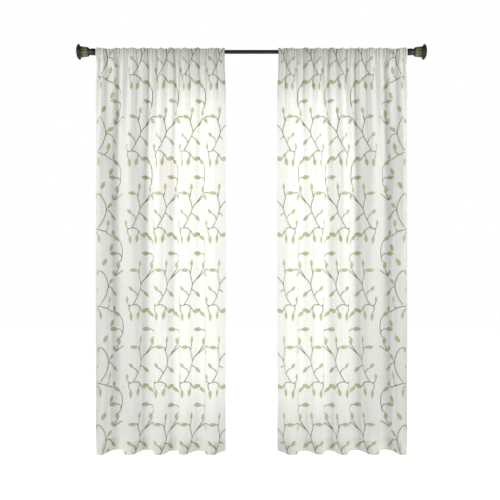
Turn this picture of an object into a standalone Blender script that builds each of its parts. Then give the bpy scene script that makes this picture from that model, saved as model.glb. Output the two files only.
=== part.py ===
"""Two sheer voile rod-pocket curtain panels on one round rod with fluted finials.

Lengths are in metres and +Z is up. The origin is on the rod's axis at mid-length. +X runs along the rod
to the right, as seen from the room, and the panels face -Y. Each panel is one closed sheet of cloth. It
leaves the seam under the rod in small gathers, which merge into five wide folds at the hem. Above the
seam it opens into the pocket, which the rod runs through.
"""

import math

import bmesh
import bpy
import numpy as np

# Rod
ROD_RADIUS = 0.010
ROD_SPAN = 1.639
ROD_SIDES = 32
FIT_GAP = 0.0003

# Cloth of one panel
FLAT_WIDTH = 0.914
HUNG_WIDTH = 0.674
SIDE_CLEARANCE = 0.004
FLARE = 0.010
FLARED_AT = 0.06
SHEET_THICKNESS = 0.0016
HEM_THICKNESS = 0.0028
WALL_THICKNESS = 0.0014
HEM_BOTTOM_Z = -2.108
HEM_HEIGHT = 0.065
HEM_STEP = 0.003
HEM_RISE = 0.009
HEM_RISE_FROM = 0.55
SEAM_Z = -0.070
SEAM_OPENING = 0.004

# Pocket: the walls' middles lie this far from the rod's axis, and their gathers stand out past that
POCKET_REACH = 0.0148
CROWN_HEIGHT = 0.0140
GATHER_REACH = 0.013
CROWN_RUFFLE = 0.005

# Folds, one row for each leg from the panel's outer edge. Legs run in turn to the front and to the back.
# Columns: cloth in the leg, the width it hangs in at the hem, and the strength of its gathers.
FOLD_LEGS = (
    (0.062, 0.024, 0.92),
    (0.110, 0.085, 1.10),
    (0.099, 0.069, 0.95),
    (0.111, 0.089, 1.05),
    (0.093, 0.064, 1.12),
    (0.097, 0.079, 0.90),
    (0.070, 0.043, 1.00),
    (0.095, 0.081, 1.15),
    (0.087, 0.067, 0.88),
    (0.090, 0.073, 1.05),
)
GATHERS_PER_LEG = 3
SEAM_FOLD_SHARE = 0.45
HEM_GATHER_SHARE = 0.05
SEAM_EVENNESS = 0.45
FOLD_FULL_AT = 0.30
GATHER_FADE = 2.5
SHARPEST_TURN = 2.4
FRONT_LEG_SHARPNESS = 8.0
BACK_LEG_SHARPNESS = 5.0
HEM_SOFTENING = 0.88
SOFTENED_FROM = 0.75

# Faces: columns for each gather, rows of the drop as shares of it below the seam, and pocket steps
COLUMNS_PER_GATHER = 4
DROP_ROWS = (0.0, 0.035, 0.075, 0.12, 0.175, 0.24, 0.32, 0.48, 0.68, 0.86)
WALL_STEPS = 3
CROWN_STEPS = 4
SAMPLES_PER_COLUMN = 24
HALVINGS = 40

# Collar, from its face at the cloth outwards: place along the rod and radius
COLLAR_PROFILE = (
    (0.0000, 0.0150),
    (0.0012, 0.0166),
    (0.0040, 0.0174),
    (0.0125, 0.0176),
    (0.0190, 0.0173),
    (0.0235, 0.0165),
    (0.0265, 0.0159),
)
# Finial, from the collar outwards to its rim: place along the rod and radius
FINIAL_PROFILE = (
    (0.0268, 0.0158),
    (0.0290, 0.0156),
    (0.0320, 0.0182),
    (0.0360, 0.0221),
    (0.0415, 0.0247),
    (0.0520, 0.0259),
    (0.0620, 0.0269),
    (0.0720, 0.0281),
    (0.0775, 0.0300),
    (0.0816, 0.0342),
    (0.0842, 0.0404),
)
RIM_THICKNESS = 0.0015
DOME_HEIGHT = 0.0125
DOME_RINGS = 4
FLUTES = 12
FLUTE_DEPTH = 0.0014
FINIAL_SIDES = 36

VOILE = (0.93, 0.93, 0.92)
BRONZE = (0.022, 0.021, 0.018)
PATINA = (0.125, 0.120, 0.055)


def clear_scene():
    """Removes every object, so that the file can be run again."""
    for obj in list(bpy.data.objects):
        bpy.data.objects.remove(obj, do_unlink=True)


def principled(name, colour, roughness, metallic):
    """A material with one Principled shader."""
    material = bpy.data.materials.new(name)
    material.use_nodes = True
    shader = material.node_tree.nodes["Principled BSDF"]
    shader.inputs["Base Color"].default_value = (*colour, 1.0)
    shader.inputs["Roughness"].default_value = roughness
    shader.inputs["Metallic"].default_value = metallic
    return material


def solid(name, points, faces, material, smooth_angle):
    """An object from points and faces, with its faces turned outwards."""
    mesh = bpy.data.meshes.new(name)
    mesh.from_pydata([tuple(point) for point in points], [], faces)
    work = bmesh.new()
    work.from_mesh(mesh)
    bmesh.ops.recalc_face_normals(work, faces=work.faces)
    work.to_mesh(mesh)
    work.free()
    mesh.shade_smooth()
    mesh.set_sharp_from_angle(angle=math.radians(smooth_angle))
    mesh.materials.append(material)
    obj = bpy.data.objects.new(name, mesh)
    bpy.context.scene.collection.objects.link(obj)
    return obj


def smoothstep(share):
    """Eases from 0 to 1 with level ends."""
    share = np.clip(share, 0.0, 1.0)
    return share * share * (3 - 2 * share)


def plan_line(drop):
    """Plan line of the cloth at one height, as X and Y at each column.

    drop is the share of the way from the seam to the hem. The line's turn over a leg is half a sine wave
    for the fold and three half waves for its gathers. The gathers fade and the folds grow on the way down,
    where a power of the half wave draws each leg's turn in to its middle. Near the hem it eases again.
    Each leg's turn is scaled, by halving, until its cloth hangs in the leg's width. That width is the hem's
    in the lower part, and nears an even share of the rod at the seam.
    """
    cloth, hem_width, strength = np.array(FOLD_LEGS).T
    cloth = cloth * FLAT_WIDTH / cloth.sum()
    hem_width = hem_width * HUNG_WIDTH / hem_width.sum()
    even_width = cloth * HUNG_WIDTH / FLAT_WIDTH
    grown = smoothstep(drop / FOLD_FULL_AT)
    width = hem_width + (even_width - hem_width) * SEAM_EVENNESS * (1 - grown)
    fold_share = SEAM_FOLD_SHARE + (1 - SEAM_FOLD_SHARE) * grown
    gather_share = HEM_GATHER_SHARE + (1 - HEM_GATHER_SHARE) * (1 - drop) ** GATHER_FADE
    columns = GATHERS_PER_LEG * COLUMNS_PER_GATHER
    samples = columns * SAMPLES_PER_COLUMN
    along = math.pi * (np.arange(samples) + 0.5) / samples
    to_front = np.arange(len(cloth)) % 2 == 0
    drawn_in = grown * (1 - HEM_SOFTENING * smoothstep((drop - SOFTENED_FROM) / (1 - SOFTENED_FROM)))
    sharpness = 1 + (np.where(to_front, FRONT_LEG_SHARPNESS, BACK_LEG_SHARPNESS) - 1) * drawn_in
    shape = fold_share * np.sin(along) ** sharpness[:, None]
    shape = shape + gather_share * np.outer(strength, np.sin(GATHERS_PER_LEG * along))
    shape /= np.abs(shape).max(axis=1, keepdims=True)
    low, high = np.zeros(len(cloth)), np.full(len(cloth), SHARPEST_TURN)
    for _ in range(HALVINGS):
        turn = (low + high) / 2
        wide = np.cos(turn[:, None] * shape).mean(axis=1) * cloth > width
        low, high = np.where(wide, turn, low), np.where(wide, high, turn)
    side = np.where(to_front, -1.0, 1.0)
    angle = (side * turn)[:, None] * shape
    step = (cloth / samples)[:, None]
    x = np.concatenate([[0.0], np.cumsum(np.cos(angle) * step)])
    y = np.concatenate([[0.0], np.cumsum(np.sin(angle) * step)])
    flare = FLARE * smoothstep(drop / FLARED_AT)
    x *= (HUNG_WIDTH + flare) / x[-1]
    y -= x * y[-1] / x[-1]
    x -= flare / 2
    y -= (y.min() + y.max()) / 2
    return x[::SAMPLES_PER_COLUMN], y[::SAMPLES_PER_COLUMN]


def plan_normals(x, y):
    """Unit normals of a plan line, towards the back."""
    dx, dy = np.gradient(x), np.gradient(y)
    length = np.hypot(dx, dy)
    return -dy / length, dx / length


def drop_heights():
    """Heights of the rows below the pocket, from the hem up to the seam, with each row's thickness."""
    hem_top = HEM_BOTTOM_Z + HEM_HEIGHT
    rows = [(HEM_BOTTOM_Z, HEM_THICKNESS), (hem_top, HEM_THICKNESS), (hem_top + HEM_STEP, SHEET_THICKNESS)]
    drop = SEAM_Z - HEM_BOTTOM_Z
    for share in reversed(DROP_ROWS):
        rows.append((SEAM_Z - share * drop, SHEET_THICKNESS))
    rows[-1] = (SEAM_Z, 2 * WALL_THICKNESS)
    return rows


def sheet_skins():
    """Front and back skins of the cloth from the hem up to the seam, as arrays of row, column and axis.

    Near the hem the cloth hangs a little higher where a fold lies back than where it comes forward.
    """
    front, back = [], []
    for z, thickness in drop_heights():
        drop = (SEAM_Z - z) / (SEAM_Z - HEM_BOTTOM_Z)
        x, y = plan_line(drop)
        across, deep = plan_normals(x, y)
        lift = HEM_RISE * smoothstep((drop - HEM_RISE_FROM) / (1 - HEM_RISE_FROM))
        height = z + lift * smoothstep((y - y.min()) / (y.max() - y.min()))
        towards_room = SHEET_THICKNESS / 2
        towards_window = thickness - towards_room
        front.append(np.stack([x - across * towards_room, y - deep * towards_room, height], axis=1))
        back.append(np.stack([x + across * towards_window, y + deep * towards_window, height], axis=1))
    return np.array(front), np.array(back)


def pocket_walls():
    """Outer and inner skins of the pocket from the seam's front over the rod to the seam's back.

    Each column goes up from the seam to the rod's height, over it in half an ellipse, and down again. The
    gathers shift both walls the same way, so that a ridge in front is a hollow behind.
    """
    x, seam_y = plan_line(0.0)
    ridge = np.clip(-seam_y / np.abs(seam_y).max(), -1, 1)
    front_y = -(POCKET_REACH + GATHER_REACH * (1 + ridge) / 2)
    back_y = POCKET_REACH + GATHER_REACH * (1 - ridge) / 2
    crown = CROWN_HEIGHT + CROWN_RUFFLE * np.abs(ridge) ** 1.5
    across, deep = plan_normals(x, seam_y)
    seam_offset = SHEET_THICKNESS / 2
    path = []
    for step in range(WALL_STEPS):
        share = step / WALL_STEPS
        y = seam_y - deep * seam_offset + (front_y - seam_y) * smoothstep(share)
        path.append((x - across * seam_offset * (1 - share), y, SEAM_Z * (1 - share) + 0 * x))
    for step in range(CROWN_STEPS + 1):
        angle = math.pi * step / CROWN_STEPS
        y = (front_y + back_y) / 2 - (back_y - front_y) / 2 * math.cos(angle)
        path.append((x, y, crown * math.sin(angle)))
    for step in reversed(range(WALL_STEPS)):
        share = step / WALL_STEPS
        y = seam_y + deep * seam_offset + (back_y - seam_y) * smoothstep(share)
        path.append((x + across * seam_offset * (1 - share), y, SEAM_Z * (1 - share) + 0 * x))
    middle = np.array(path).transpose(0, 2, 1)
    outwards = np.cross(np.gradient(middle, axis=1), np.gradient(middle, axis=0))
    outwards /= np.linalg.norm(outwards, axis=2, keepdims=True)
    half = WALL_THICKNESS / 2
    opening = np.stack([x, seam_y, np.full_like(x, SEAM_Z + SEAM_OPENING)], axis=1)
    return middle + outwards * half, middle - outwards * half, opening


def add_strip(faces, low, high):
    """Adds the faces between two rows of point numbers."""
    for column in range(len(low) - 1):
        faces.append((low[column], low[column + 1], high[column + 1], high[column]))


def panel(name, side, material):
    """One panel as a closed sheet: side is -1 for the left one, and 1 for the right one, its mirror image."""
    front, back = sheet_skins()
    outer, inner, opening = pocket_walls()
    outside = np.concatenate([front, outer[1:-1], back[::-1]])
    inside = np.concatenate([opening[None], inner[1:-1]])
    columns = outside.shape[1]
    points = np.concatenate([outside.reshape(-1, 3), inside.reshape(-1, 3)])
    points[:, 0] -= ROD_SPAN / 2 - SIDE_CLEARANCE
    points[:, 0] *= -side
    outer_rows = np.arange(outside.shape[0] * columns).reshape(-1, columns)
    inner_rows = np.arange(inside.shape[0] * columns).reshape(-1, columns) + outer_rows.size
    faces = []
    for rows in (outer_rows, inner_rows):
        for low, high in zip(rows, np.roll(rows, -1, axis=0)):
            add_strip(faces, low, high)
    seam_row = len(front) - 1
    last_outer = len(outer_rows) - 1
    for column in (0, columns - 1):
        edge = outer_rows[:, column]
        hole = inner_rows[:, column]
        for row in range(seam_row):
            faces.append((edge[row], edge[row + 1], edge[last_outer - row - 1], edge[last_outer - row]))
        faces.append((edge[seam_row], hole[0], edge[last_outer - seam_row]))
        for step in range(len(hole)):
            outer_low, outer_high = edge[seam_row + step], edge[seam_row + step + 1]
            faces.append((outer_low, outer_high, hole[(step + 1) % len(hole)], hole[step]))
    return solid(name, points, [tuple(map(int, face)) for face in faces], material, 60)


def turned(name, rings, side, material, hollow_radius=None, flutes=0):
    """A piece turned about the rod's axis: rings of place and radius, closed at both ends.

    With a hollow radius it is a ring with a straight bore. With flutes its rings carry even grooves, whose
    depth is each ring's third value.
    """
    sides = FINIAL_SIDES if flutes else ROD_SIDES
    angles = np.arange(sides) * 2 * math.pi / sides
    loops = list(rings)
    if hollow_radius:
        loops += [(rings[-1][0], hollow_radius, 0.0), (rings[0][0], hollow_radius, 0.0)]
    points, faces = [], []
    for place, radius, depth in loops:
        reach = radius - depth * (0.5 + 0.5 * np.cos(flutes * angles))
        x = np.full(sides, side * (ROD_SPAN / 2 + place))
        points.append(np.stack([x, reach * np.sin(angles), reach * np.cos(angles)], axis=1))
    numbers = np.arange(len(loops) * sides).reshape(-1, sides)
    closed = np.concatenate([numbers, numbers[:, :1]], axis=1)
    for low, high in zip(closed[:-1], closed[1:]):
        add_strip(faces, low, high)
    if hollow_radius:
        add_strip(faces, closed[-1], closed[0])
    else:
        faces.append(tuple(numbers[0]))
        faces.append(tuple(numbers[-1]))
    return solid(name, np.concatenate(points), [tuple(map(int, face)) for face in faces], material, 35)


def collar(name, side, material):
    """The ring between the cloth and the finial, with a straight bore for the rod."""
    rings = [(place, radius, 0.0) for place, radius in COLLAR_PROFILE]
    return turned(name, rings, side, material, hollow_radius=ROD_RADIUS + FIT_GAP)


def finial(name, side, material):
    """A tulip with a fluted body, a flared rim and a shallow dome over its mouth."""
    rings = []
    body_start, body_end = FINIAL_PROFILE[2][0], FINIAL_PROFILE[-3][0]
    for place, radius in FINIAL_PROFILE:
        share = (place - body_start) / (body_end - body_start)
        depth = FLUTE_DEPTH * max(0.0, math.sin(math.pi * share)) ** 0.5 if 0 < share < 1 else 0.0
        rings.append((place, radius, depth))
    rim_place, rim_radius = FINIAL_PROFILE[-1]
    for step in range(DOME_RINGS):
        angle = math.pi / 2 * step / DOME_RINGS
        place = rim_place + RIM_THICKNESS + DOME_HEIGHT * math.sin(angle)
        rings.append((place, rim_radius * math.cos(angle), 0.0))
    return turned(name, rings, side, material, flutes=FLUTES)


def rod(name, material):
    """The plain round bar, which runs through both collars and stops short of the finials."""
    reach = FINIAL_PROFILE[0][0] - FIT_GAP
    rings = [(-ROD_SPAN - reach, ROD_RADIUS, 0.0), (reach, ROD_RADIUS, 0.0)]
    return turned(name, rings, 1, material)


def main():
    clear_scene()
    voile = principled("voile", VOILE, 0.85, 0.0)
    bronze = principled("bronze", BRONZE, 0.42, 0.6)
    patina = principled("patina", PATINA, 0.45, 0.6)
    rod("rod", bronze)
    for name, side in (("left", -1), ("right", 1)):
        panel("panel_" + name, side, voile)
        collar("collar_" + name, side, bronze)
        finial("finial_" + name, side, patina)


main()
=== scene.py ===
"""Dresses the frame of two sheer voile curtain panels on one rod.

Lengths are in metres, +Z is up, and the panels face -Y. Each panel is one thin sheet of voile, worked out on
its solid's folds, with a trailing vine embroidered on it, a sewn hem and a sewn rod pocket.
"""

import math

import bmesh
import bpy
import numpy as np
from bpy.props import FloatProperty, FloatVectorProperty, PointerProperty
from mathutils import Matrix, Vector


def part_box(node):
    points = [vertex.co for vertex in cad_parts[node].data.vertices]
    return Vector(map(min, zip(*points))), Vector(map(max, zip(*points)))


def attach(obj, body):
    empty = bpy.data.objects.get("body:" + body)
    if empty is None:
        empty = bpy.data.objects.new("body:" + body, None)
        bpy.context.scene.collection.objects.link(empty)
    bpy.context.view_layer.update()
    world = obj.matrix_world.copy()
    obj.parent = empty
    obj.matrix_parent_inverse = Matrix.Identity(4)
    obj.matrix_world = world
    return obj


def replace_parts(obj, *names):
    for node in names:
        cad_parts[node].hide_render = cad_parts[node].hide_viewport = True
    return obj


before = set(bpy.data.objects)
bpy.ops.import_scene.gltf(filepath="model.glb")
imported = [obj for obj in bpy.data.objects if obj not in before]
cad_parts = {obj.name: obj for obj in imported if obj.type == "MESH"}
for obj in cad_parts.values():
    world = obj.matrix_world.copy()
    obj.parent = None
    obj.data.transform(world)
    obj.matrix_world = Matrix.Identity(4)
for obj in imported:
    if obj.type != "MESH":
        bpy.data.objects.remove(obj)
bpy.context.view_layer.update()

bl_info = {
    "name": "Voile Curtain Pair",
    "version": (1, 0, 0),
    "blender": (4, 5, 0),
    "location": "View3D > Sidebar > Curtain",
    "description": "Sheer embroidered rod-pocket panels on a rod with fluted finials",
    "category": "Object",
}

# Rod, read from the frame
ROD_LOW, ROD_HIGH = (np.array(corner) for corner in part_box("rod"))
ROD_RADIUS = float(ROD_HIGH[2] - ROD_LOW[2]) / 2
ROD_REACH = float(ROD_HIGH[0])
ROD_PAST_SPAN = 0.0265
ROD_SPAN = 2 * (ROD_REACH - ROD_PAST_SPAN)

# Cloth of one panel, on the solid's folds
HUNG_WIDTH = 0.674
SIDE_CLEARANCE = 0.004
FLARE = 0.010
FLARED_AT = 0.06
HEM_BOTTOM_Z = -2.108
HEM_HEIGHT = 0.065
HEM_RISE = 0.009
HEM_RISE_FROM = 0.55
HEM_GAP = 0.0013
SEAM_Z = -0.070
POCKET_REACH = 0.0148
CROWN_HEIGHT = 0.0140
GATHER_REACH = 0.013
CROWN_RUFFLE = 0.005
RUFFLE_HEIGHT = 0.0050
RUFFLE_PITCH = 0.0185
BUMP_HEIGHT = 0.0065

# Folds, one row for each leg from the panel's outer edge. Legs run in turn to the front and to the back.
# Columns: cloth in the leg, the width it hangs in at the hem, and the strength of its gathers.
FOLD_LEGS = (
    (0.062, 0.024, 0.92),
    (0.110, 0.085, 1.10),
    (0.099, 0.069, 0.95),
    (0.111, 0.089, 1.05),
    (0.093, 0.064, 1.12),
    (0.097, 0.079, 0.90),
    (0.070, 0.043, 1.00),
    (0.095, 0.081, 1.15),
    (0.087, 0.067, 0.88),
    (0.090, 0.073, 1.05),
)
GATHERS_PER_LEG = 3
SEAM_FOLD_SHARE = 0.45
HEM_GATHER_SHARE = 0.05
SEAM_EVENNESS = 0.45
FOLD_FULL_AT = 0.30
GATHER_FADE = 2.5
SHARPEST_TURN = 2.4
FRONT_LEG_SHARPNESS = 8.0
BACK_LEG_SHARPNESS = 5.0
HEM_SOFTENING = 0.88
SOFTENED_FROM = 0.75

# Ripples, as turns of the plan line. Columns: pitch across the flat cloth, turn at the seam, turn at the
# hem, how fast the first fades into the second, phase, and how far the phase drifts down the drop.
RIPPLES = (
    (0.0230, 0.42, 0.03, 14.0, 0.3, 2.0),
    (0.0370, 0.20, 0.07, 5.0, 1.7, -3.1),
    (0.0610, 0.16, 0.10, 2.5, 0.9, 2.6),
    (0.0145, 0.22, 0.00, 30.0, 2.2, 0.0),
)

# Creases, one row each. Columns: place across the flat cloth, shares of the drop where it starts and ends,
# height out of the cloth (- is a trough) and half-width.
CREASES = (
    (0.035, 0.10, 0.62, -0.0022, 0.0075),
    (0.098, 0.02, 0.48, 0.0026, 0.0080),
    (0.148, 0.22, 0.86, -0.0020, 0.0090),
    (0.214, 0.05, 0.55, 0.0022, 0.0070),
    (0.262, 0.30, 0.93, -0.0018, 0.0085),
    (0.316, 0.00, 0.40, 0.0028, 0.0080),
    (0.371, 0.16, 0.70, -0.0022, 0.0075),
    (0.442, 0.08, 0.58, 0.0024, 0.0085),
    (0.497, 0.28, 0.90, -0.0018, 0.0080),
    (0.563, 0.00, 0.46, 0.0026, 0.0070),
    (0.628, 0.12, 0.66, -0.0020, 0.0085),
    (0.701, 0.20, 0.80, 0.0020, 0.0080),
    (0.764, 0.04, 0.52, -0.0024, 0.0075),
    (0.842, 0.15, 0.74, 0.0022, 0.0085),
    (0.889, 0.00, 0.42, -0.0020, 0.0070),
)
CREASE_ENDS = 0.12
FINE_CREASES = 40
FINE_SEED = 23
# Ranges that the fine creases are drawn from: place across the flat cloth, start and run along the drop,
# lean, height and half-width
FINE_RANGES = (
    (0.01, 0.90), (-0.15, 0.55), (0.30, 0.75), (-0.016, 0.016), (-0.0012, 0.0012), (0.0024, 0.0046))
PUCKER_PITCH = 0.0128
PUCKER_HEIGHT = 0.0007
PUCKER_REACH = 0.012

# Weave, and the light that passes through the embroidery
WEAVE_PITCH = 0.0012
WEAVE_HEIGHT = 0.00014
CRINKLE_HEIGHT = 0.0011
SELVEDGE_WIDTH = 0.007
LEAF_COVER = 0.84
LEAF_LIGHT = (0.86, 0.89, 0.70, 1.0)
STEM_LIGHT = (0.70, 0.74, 0.50, 1.0)

# Grid of the sheet
LEG_COLUMNS = 48
SAMPLES_PER_COLUMN = 3
HALVINGS = 36
HEM_ROWS = 9
TURN_ROWS = 3
DROP_ROWS = 92
WALL_ROWS = 12
CROWN_ROWS = 16
SEAM_ZONE = 0.09
SEAM_ZONE_ROWS = 16
SEAM_CROWDING = 1.6

# Vine, as one repeat charted on the flat cloth, with +Y down from the foot where its stems meet.
# Leaf columns: middle X and Y, heading of the tip in degrees (90 is up), length and width.
REPEAT_LEAVES = (
    (-0.008, 0.060, -88, 0.048, 0.017),
    (0.032, 0.054, -100, 0.042, 0.021),
    (0.079, 0.032, 24, 0.043, 0.023),
    (0.111, 0.050, -38, 0.042, 0.020),
    (0.084, 0.131, 178, 0.044, 0.023),
    (0.117, 0.196, -86, 0.042, 0.021),
    (0.050, 0.182, 86, 0.039, 0.016),
    (0.005, 0.218, 178, 0.044, 0.020),
    (0.139, 0.238, -56, 0.037, 0.016),
    (-0.010, 0.313, 132, 0.033, 0.018),
    (0.085, 0.347, -48, 0.041, 0.018),
    (-0.030, 0.372, 88, 0.033, 0.015),
)
# Stems of the repeat, each as the points of its smooth curve
REPEAT_STEMS = (
    ((0.166, 0.218), (0.148, 0.214), (0.122, 0.228), (0.095, 0.252), (0.070, 0.274), (0.055, 0.296),
     (0.046, 0.322), (0.028, 0.357), (0.0, 0.401)),
    ((0.0, 0.0), (-0.014, 0.003), (-0.021, 0.016), (-0.013, 0.040)),
    ((0.0, 0.0), (0.018, -0.003), (0.042, 0.010), (0.062, 0.038)),
    ((0.042, 0.010), (0.041, 0.024), (0.036, 0.037)),
    ((0.094, 0.024), (0.096, 0.032), (0.098, 0.040)),
    ((0.125, 0.061), (0.134, 0.080), (0.137, 0.110), (0.136, 0.140), (0.130, 0.166), (0.119, 0.180)),
    ((0.103, 0.131), (0.118, 0.133), (0.130, 0.146), (0.134, 0.160)),
    ((0.024, 0.217), (0.036, 0.224), (0.042, 0.246), (0.050, 0.270), (0.054, 0.297)),
    ((0.049, 0.199), (0.046, 0.216), (0.041, 0.238)),
    ((0.115, 0.214), (0.100, 0.236), (0.082, 0.264)),
    ((0.0, 0.324), (0.016, 0.333), (0.028, 0.354)),
    ((0.047, 0.318), (0.058, 0.324), (0.073, 0.334)),
    ((-0.030, 0.386), (-0.022, 0.400), (-0.008, 0.405)),
)
# The column at the panel's outer edge, charted in the same way
EDGE_LEAVES = (
    (0.002, 0.054, -85, 0.046, 0.015),
    (0.059, -0.028, 80, 0.044, 0.022),
    (0.090, 0.022, 92, 0.034, 0.013),
    (0.106, 0.052, -38, 0.042, 0.020),
    (0.075, 0.101, 66, 0.043, 0.021),
    (0.084, 0.131, 178, 0.044, 0.023),
    (0.112, 0.196, -84, 0.042, 0.021),
    (0.028, 0.176, 62, 0.045, 0.022),
    (-0.020, 0.236, -130, 0.042, 0.022),
    (0.088, 0.234, 100, 0.030, 0.013),
    (0.068, 0.280, 38, 0.043, 0.020),
    (-0.018, 0.318, 100, 0.026, 0.012),
    (0.092, 0.342, -56, 0.037, 0.014),
)
EDGE_STEMS = (
    ((-0.030, 0.004), (0.006, 0.008), (0.036, 0.017), (0.060, 0.030), (0.088, 0.042)),
    ((-0.022, 0.005), (-0.018, 0.018), (0.000, 0.034)),
    ((0.057, -0.007), (0.048, 0.006), (0.036, 0.017)),
    ((0.120, 0.063), (0.131, 0.082), (0.136, 0.110), (0.135, 0.140), (0.128, 0.166), (0.114, 0.180)),
    ((0.103, 0.131), (0.118, 0.133), (0.130, 0.146), (0.134, 0.160)),
    ((0.166, 0.218), (0.144, 0.219), (0.120, 0.232), (0.094, 0.252)),
    ((0.110, 0.214), (0.104, 0.228), (0.094, 0.252)),
    ((-0.008, 0.220), (0.012, 0.226), (0.030, 0.250), (0.042, 0.284), (0.043, 0.312), (0.028, 0.357),
     (0.0, 0.401)),
    ((0.053, 0.292), (0.046, 0.300), (0.042, 0.312)),
    ((0.043, 0.308), (0.060, 0.306), (0.074, 0.314), (0.083, 0.328)),
)
# The leaf that shows inside the hem: X from the foot, way down from the hem's top edge, then as above
HEM_LEAF = (0.025, 0.031, 90, 0.044, 0.014)
REPEAT_WIDTH = 0.181
REPEAT_HEIGHT = 0.401
EDGE_FOOT_U = 0.058
FIRST_FOOT_U = 0.283
COLUMNS = 4
FOOT_Z = -0.526
REPEATS = range(-5, 4)
LEAF_RINGS = 9
LEAF_SIDES = 12
LEAF_HEIGHT = 0.00055
STEM_STEP = 0.004
STEM_SIDES = 4
STEM_WIDTH = 0.0044
STEM_HEIGHT = 0.0005
EDGE_MARGIN = 0.0008

# Sewing
STITCH_PITCH = 0.0032
STITCH_LENGTH = 0.0026
STITCH_WIDTH = 0.0006
STITCH_HEIGHT = 0.00035
STITCH_RINGS = 5
STITCH_SIDES = 6
STITCH_INSET = 0.0018
SEAM_THREAD = (0.86, 0.86, 0.85)

# Collar and finial profiles, from the cloth outwards: place along the rod past the span, and radius
COLLAR_PROFILE = (
    (0.0000, 0.0150),
    (0.0012, 0.0166),
    (0.0040, 0.0174),
    (0.0125, 0.0176),
    (0.0190, 0.0173),
    (0.0235, 0.0165),
    (0.0265, 0.0159),
)
FINIAL_PROFILE = (
    (0.0268, 0.0158),
    (0.0290, 0.0156),
    (0.0320, 0.0182),
    (0.0360, 0.0221),
    (0.0415, 0.0247),
    (0.0520, 0.0259),
    (0.0620, 0.0269),
    (0.0720, 0.0281),
    (0.0775, 0.0300),
    (0.0816, 0.0342),
    (0.0842, 0.0404),
)
RIM_THICKNESS = 0.0015
LIP_ROUND = 0.0006
DOME_INSET = 0.0016
DOME_HEIGHT = 0.0125
FLUTES = 12
FLUTE_DEPTH = 0.0020
FIT_GAP = 0.0003
TURNED_SIDES = 96
CORNER = 0.0008
ROD_RINGS = 60
DOME_STEPS = 18

# Camera and floor: the picture is 500 pixels square, and one pixel is this wide at the rod's plane
PIXEL = 0.00525
PICTURE_WIDTH = 500
PICTURE_MIDDLE = PICTURE_WIDTH / 2
ROD_MIDDLE_PIXEL = (251.55, 51.9)
SENSOR_WIDTH = 36.0
FLOOR_DROP = 0.095
FLOOR_REACH = 6.0

# Lights of the right side, mirrored for the left. Columns: name, place, aim, width and height, the power it
# takes and its share of it, colour, and spread in degrees.
PURE, CREAM, WARM = (1.0, 1.0, 1.0), (1.0, 0.99, 0.97), (1.0, 0.985, 0.93)
LIGHTS = (
    ("side_", (2.00, -1.25, -0.40), (0.48, 0.0, -0.85), (0.70, 1.70), "side_power", 1.0, CREAM, 180),
    ("glow_", (0.29, 0.30, -1.03), (0.29, 0.0, -1.06), (0.42, 1.68), "glow_power", 1.0, WARM, 95),
    ("low_", (1.15, -0.72, -2.14), (0.46, 0.0, -2.085), (0.62, 0.05), "side_power", 0.0018, PURE, 16),
    ("dim_", (0.68, 0.32, -0.80), (0.68, 0.0, -0.80), (0.30, 1.20), "glow_power", 0.04, PURE, 95),
)
WHITE = (1.0, 1.0, 1.0, 1.0)
SURROUND_COLOUR = (0.985, 0.99, 1.0, 1.0)
FLOOR_COLOURS = ((0.90, 0.90, 0.90, 1.0), (0.93, 0.93, 0.93, 1.0))
SIDES = (("left", -1), ("right", 1))


def colour_setting(name, description, default):
    """A colour that a user may change."""
    return FloatVectorProperty(
        name=name, description=description, default=default, subtype="COLOR", min=0.0, max=1.0)


def share_setting(name, description, default):
    """A share from 0 to 1 that a user may change."""
    return FloatProperty(
        name=name, description=description, default=default, subtype="FACTOR", min=0.0, max=1.0)


class CurtainCloth(bpy.types.PropertyGroup):
    """Sizes and finish of the voile."""

    flat_width: FloatProperty(
        name="Flat width", description="Width of one panel before it is gathered", unit="LENGTH",
        default=0.914)
    thread: colour_setting("Thread colour", "Colour of the voile's threads", (0.935, 0.933, 0.898))
    cover: share_setting("Cover", "Share of light that one layer of voile stops", 0.90)
    glow: share_setting("Glow", "Share of the stopped light that passes on scattered", 0.48)


class CurtainVine(bpy.types.PropertyGroup):
    """Colours of the embroidered vine."""

    leaf_colour: colour_setting("Leaf fill", "Colour of the leaves' satin stitch", (0.450, 0.465, 0.185))
    outline_colour: colour_setting("Leaf outline", "Colour of the leaves' outline and midrib", (0.110, 0.125, 0.040))
    rim_colour: colour_setting("Leaf rim", "Colour of the pale thread round the leaves", (0.720, 0.760, 0.330))
    stem_colour: colour_setting("Stem", "Colour of the stems' thread", (0.085, 0.088, 0.028))


class CurtainMetal(bpy.types.PropertyGroup):
    """Finish of the rod and its ends."""

    bronze: colour_setting("Bronze", "Colour of the dark metal", (0.022, 0.021, 0.019))
    # This colour is both the bronze's rubbed and worn finish and the finials' painted highlight
    patina: colour_setting("Patina", "Colour rubbed through on the finials' ridges", (0.290, 0.280, 0.115))
    roughness: share_setting("Roughness", "Roughness of the metal", 0.38)


class CurtainStage(bpy.types.PropertyGroup):
    """Camera distance and light."""

    distance: FloatProperty(
        name="Camera distance", description="From the camera to the rod's plane", default=3.2, unit="LENGTH")
    surround: FloatProperty(
        name="Surround", description="Strength of the even light from all sides", default=0.25, min=0.0)
    side_power: FloatProperty(
        name="Side lights", description="Power of each light at the side", default=37.0, unit="POWER")
    glow_power: FloatProperty(
        name="Back lights", description="Power of each light behind a panel", default=2.25, unit="POWER")


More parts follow.
